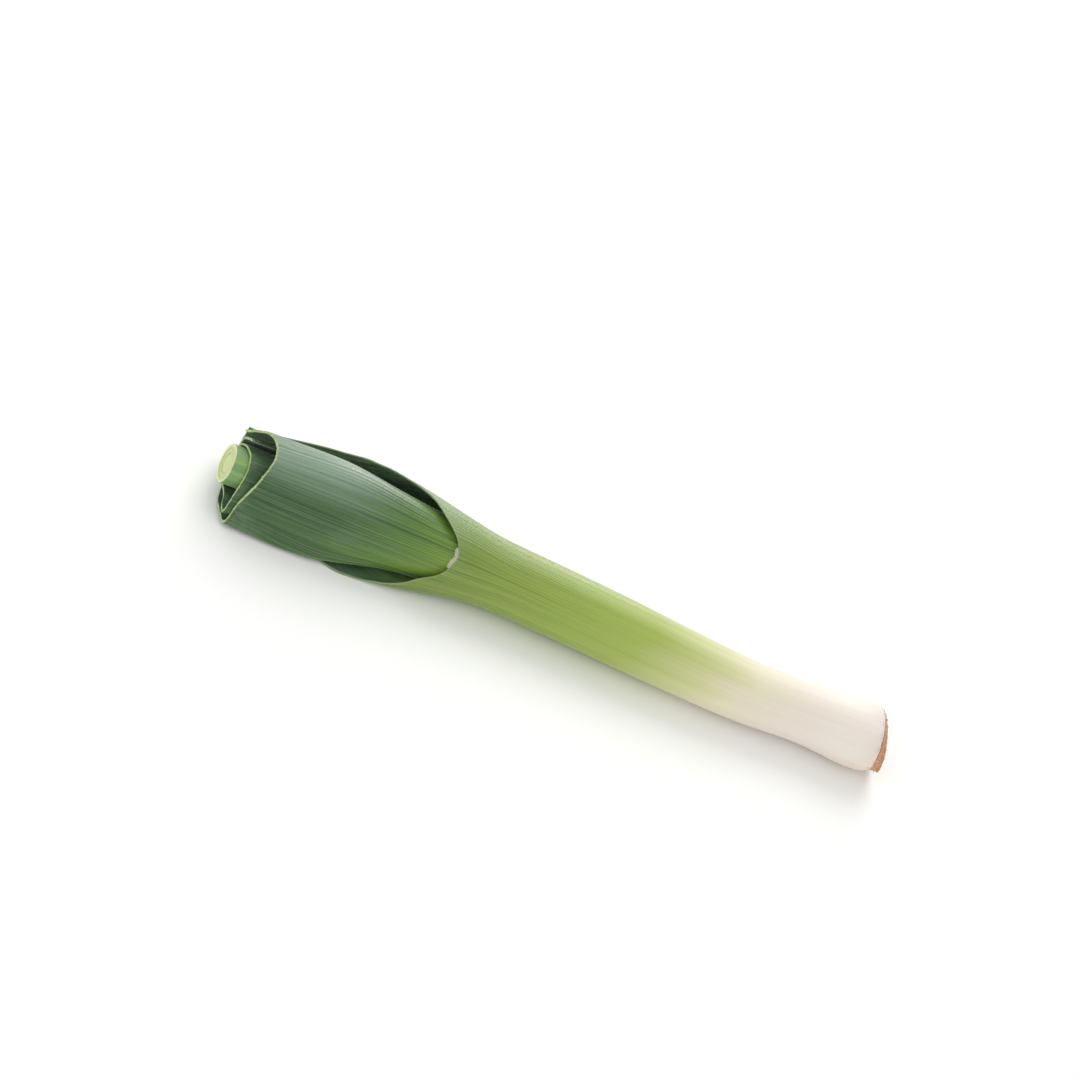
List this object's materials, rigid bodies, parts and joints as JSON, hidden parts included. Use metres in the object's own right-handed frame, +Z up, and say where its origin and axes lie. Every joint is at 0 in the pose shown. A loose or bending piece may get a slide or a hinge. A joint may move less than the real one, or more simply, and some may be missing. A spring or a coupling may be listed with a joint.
{
  "type": "leek",
  "caption": "Trimmed leek lying on its side: white shank of nested leaf sheaths on a cut root plate, opening into folded green leaves cut short round a rolled heart.",
  "frame": {"origin": "on the surface the leek lies on, under the middle of its box", "axes": "+X along the leek towards its root plate, +Z up"},
  "size_m": [0.3484, 0.0489, 0.043],
  "materials": {
    "outer_leaf": "waxy leaf, cream white at the root, yellow green at the throat and dark green at the cut",
    "inner_leaves": "waxy leaf, dark green with paler stripes along it",
    "heart": "smooth young leaf, pale yellow green",
    "root_plate": "rough, dry, tan and fibrous"
  },
  "bodies": {
    "root": {"root_plate": "root_plate", "outer_leaf": "outer_leaf", "second_leaf": "inner_leaves", "third_leaf": "inner_leaves", "fourth_leaf": "inner_leaves", "fifth_leaf": "heart", "sixth_leaf": "heart", "heart": "heart"}
  },
  "joints": []
}
